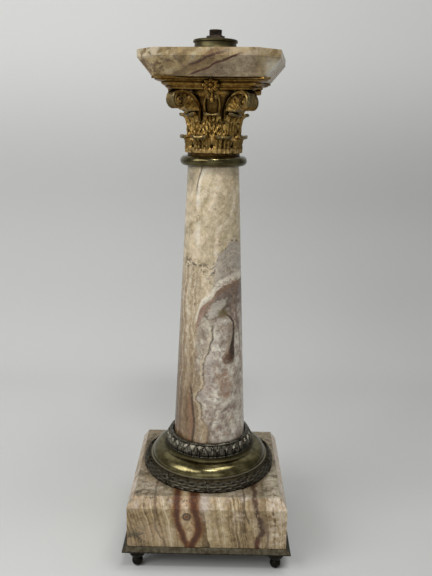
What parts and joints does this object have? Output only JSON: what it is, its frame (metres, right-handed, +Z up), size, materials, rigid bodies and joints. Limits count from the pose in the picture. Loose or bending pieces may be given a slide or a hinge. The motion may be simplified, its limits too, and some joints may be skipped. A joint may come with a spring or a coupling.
{
  "type": "column table lamp",
  "caption": "Onyx column table lamp base with a bronze Corinthian capital, square plinth and top slab, held on one threaded tube.",
  "frame": {"origin": "on the floor under the column's axis, at the bottom of the feet", "axes": "+Z up along the threaded tube, -Y towards the front of the plinth, +X to its right"},
  "size_m": [0.14, 0.14, 0.4358],
  "materials": {
    "plinth_onyx": "polished, banded upright in cream, tan and red-brown",
    "column_onyx": "polished, cream and beige with brown and lilac-grey veins",
    "slab_onyx": "polished, beige-grey with brown slanting veins",
    "gilt_bronze": "worn gilding over cast bronze, dark in the recesses",
    "polished_brass": "aged polished brass, greenish",
    "dark_bronze": "dark patina, worn bright on the high parts",
    "aged_steel": "dark rusty steel"
  },
  "bodies": {
    "root": {"foot_front_left": "dark_bronze", "foot_front_right": "dark_bronze", "foot_back_left": "dark_bronze", "foot_back_right": "dark_bronze", "foot_nuts": "aged_steel", "base_plate": "dark_bronze", "plinth_block": "plinth_onyx", "wreath_ring": "dark_bronze", "base_torus": "polished_brass", "leaf_band": "dark_bronze", "column_shaft": "column_onyx", "centre_tube": "aged_steel", "bottom_washer": "aged_steel", "bottom_nut": "aged_steel", "collar": "polished_brass", "lock_nut": "aged_steel"},
    "capital": {"necking_ring": "polished_brass", "capital_bell": "gilt_bronze", "lower_leaf_tier": "gilt_bronze", "upper_leaf_tier": "gilt_bronze", "volute_front_right": "gilt_bronze", "volute_back_right": "gilt_bronze", "volute_back_left": "gilt_bronze", "volute_front_left": "gilt_bronze", "helices_front": "gilt_bronze", "helices_right": "gilt_bronze", "helices_back": "gilt_bronze", "helices_left": "gilt_bronze", "abacus": "gilt_bronze", "fleuron_front": "gilt_bronze", "fleuron_right": "gilt_bronze", "fleuron_back": "gilt_bronze", "fleuron_left": "gilt_bronze", "volute_screws": "aged_steel", "abacus_screws": "aged_steel"},
    "slab": {"top_slab": "slab_onyx"}
  },
  "joints": [
    {"name": "capital_turn", "type": "hinge", "parent": "root", "child": "capital", "pos_m": [0, 0, 0.3317], "axis": [0, 0, 1], "continuous": true},
    {"name": "slab_turn", "type": "hinge", "parent": "capital", "child": "slab", "pos_m": [0, 0, 0.3984], "axis": [0, 0, 1], "continuous": true}
  ]
}
